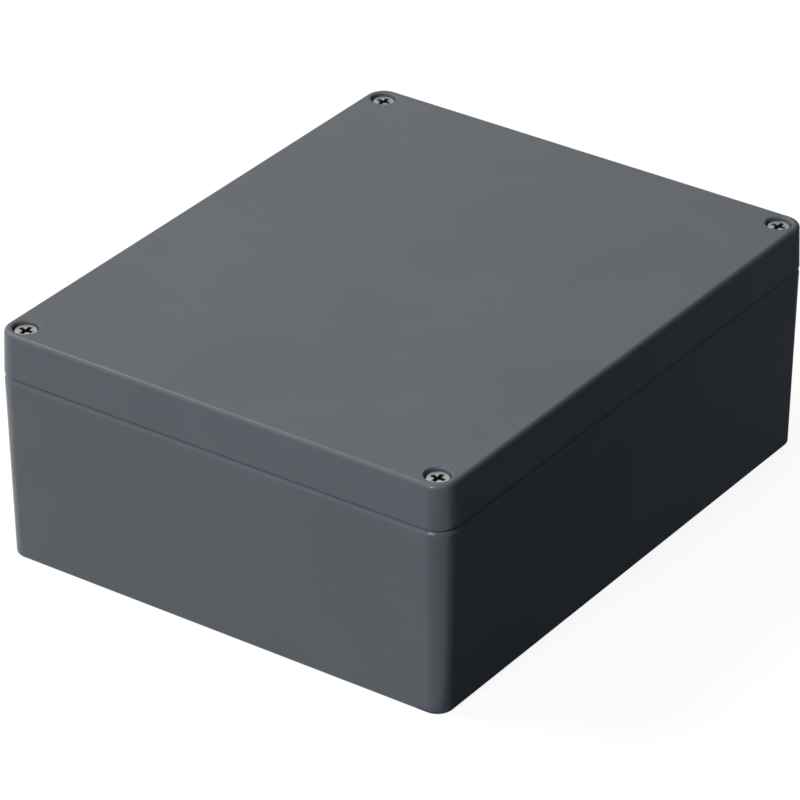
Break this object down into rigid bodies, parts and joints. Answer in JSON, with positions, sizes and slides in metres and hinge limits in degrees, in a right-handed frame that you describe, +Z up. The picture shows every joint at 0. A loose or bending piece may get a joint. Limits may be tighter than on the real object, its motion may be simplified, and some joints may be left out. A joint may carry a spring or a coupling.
{
  "type": "die cast aluminium enclosure",
  "caption": "Deep rectangular die cast box with tapered sides and a sealed lift-off lid held by captive corner screws, for housing electrical equipment.",
  "frame": {"origin": "middle of the underside", "axes": "+X along the short side, +Y along the long side, +Z up through the lid"},
  "size_m": [0.23, 0.28, 0.11],
  "materials": {
    "powder_coat": "satin",
    "seal_rubber": "matte",
    "stainless_steel": "satin",
    "retainer_nylon": "matte",
    "earth_brass": "satin"
  },
  "bodies": {
    "base": {"enclosure_base": "powder_coat", "base_earth_screw": "earth_brass", "base_earth_spring_washer": "stainless_steel", "base_earth_clamp_washer": "earth_brass"},
    "lid": {"enclosure_lid": "powder_coat", "lid_gasket": "seal_rubber", "lid_earth_screw": "earth_brass", "lid_earth_spring_washer": "stainless_steel", "lid_earth_clamp_washer": "earth_brass"},
    "retainer_front_left": {"screw_retainer_front_left": "retainer_nylon"},
    "screw_front_left": {"lid_screw_front_left": "stainless_steel"},
    "retainer_front_right": {"screw_retainer_front_right": "retainer_nylon"},
    "screw_front_right": {"lid_screw_front_right": "stainless_steel"},
    "retainer_back_left": {"screw_retainer_back_left": "retainer_nylon"},
    "screw_back_left": {"lid_screw_back_left": "stainless_steel"},
    "retainer_back_right": {"screw_retainer_back_right": "retainer_nylon"},
    "screw_back_right": {"lid_screw_back_right": "stainless_steel"}
  },
  "joints": [
    {"name": "lid_lift", "type": "slide", "parent": "base", "child": "lid", "axis": [0, 0, 1], "range_m": [0, 0.12]},
    {"name": "screw_front_left_rise", "type": "slide", "parent": "lid", "child": "retainer_front_left", "axis": [0, 0, 1], "range_m": [0, 0.01]},
    {"name": "screw_front_left_turn", "type": "hinge", "parent": "retainer_front_left", "child": "screw_front_left", "pos_m": [-0.1052, -0.1302, 0.1046], "axis": [0, 0, 1], "range_deg": [0, 3600]},
    {"name": "screw_front_right_rise", "type": "slide", "parent": "lid", "child": "retainer_front_right", "axis": [0, 0, 1], "range_m": [0, 0.01]},
    {"name": "screw_front_right_turn", "type": "hinge", "parent": "retainer_front_right", "child": "screw_front_right", "pos_m": [0.1052, -0.1302, 0.1046], "axis": [0, 0, 1], "range_deg": [0, 3600]},
    {"name": "screw_back_left_rise", "type": "slide", "parent": "lid", "child": "retainer_back_left", "axis": [0, 0, 1], "range_m": [0, 0.01]},
    {"name": "screw_back_left_turn", "type": "hinge", "parent": "retainer_back_left", "child": "screw_back_left", "pos_m": [-0.1052, 0.1302, 0.1046], "axis": [0, 0, 1], "range_deg": [0, 3600]},
    {"name": "screw_back_right_rise", "type": "slide", "parent": "lid", "child": "retainer_back_right", "axis": [0, 0, 1], "range_m": [0, 0.01]},
    {"name": "screw_back_right_turn", "type": "hinge", "parent": "retainer_back_right", "child": "screw_back_right", "pos_m": [0.1052, 0.1302, 0.1046], "axis": [0, 0, 1], "range_deg": [0, 3600]}
  ],
  "couplings": [
    {"joint": "screw_front_left_turn", "follows": "screw_front_left_rise", "rad_per_m": 6283.2},
    {"joint": "screw_front_right_turn", "follows": "screw_front_right_rise", "rad_per_m": 6283.2},
    {"joint": "screw_back_left_turn", "follows": "screw_back_left_rise", "rad_per_m": 6283.2},
    {"joint": "screw_back_right_turn", "follows": "screw_back_right_rise", "rad_per_m": 6283.2}
  ]
}
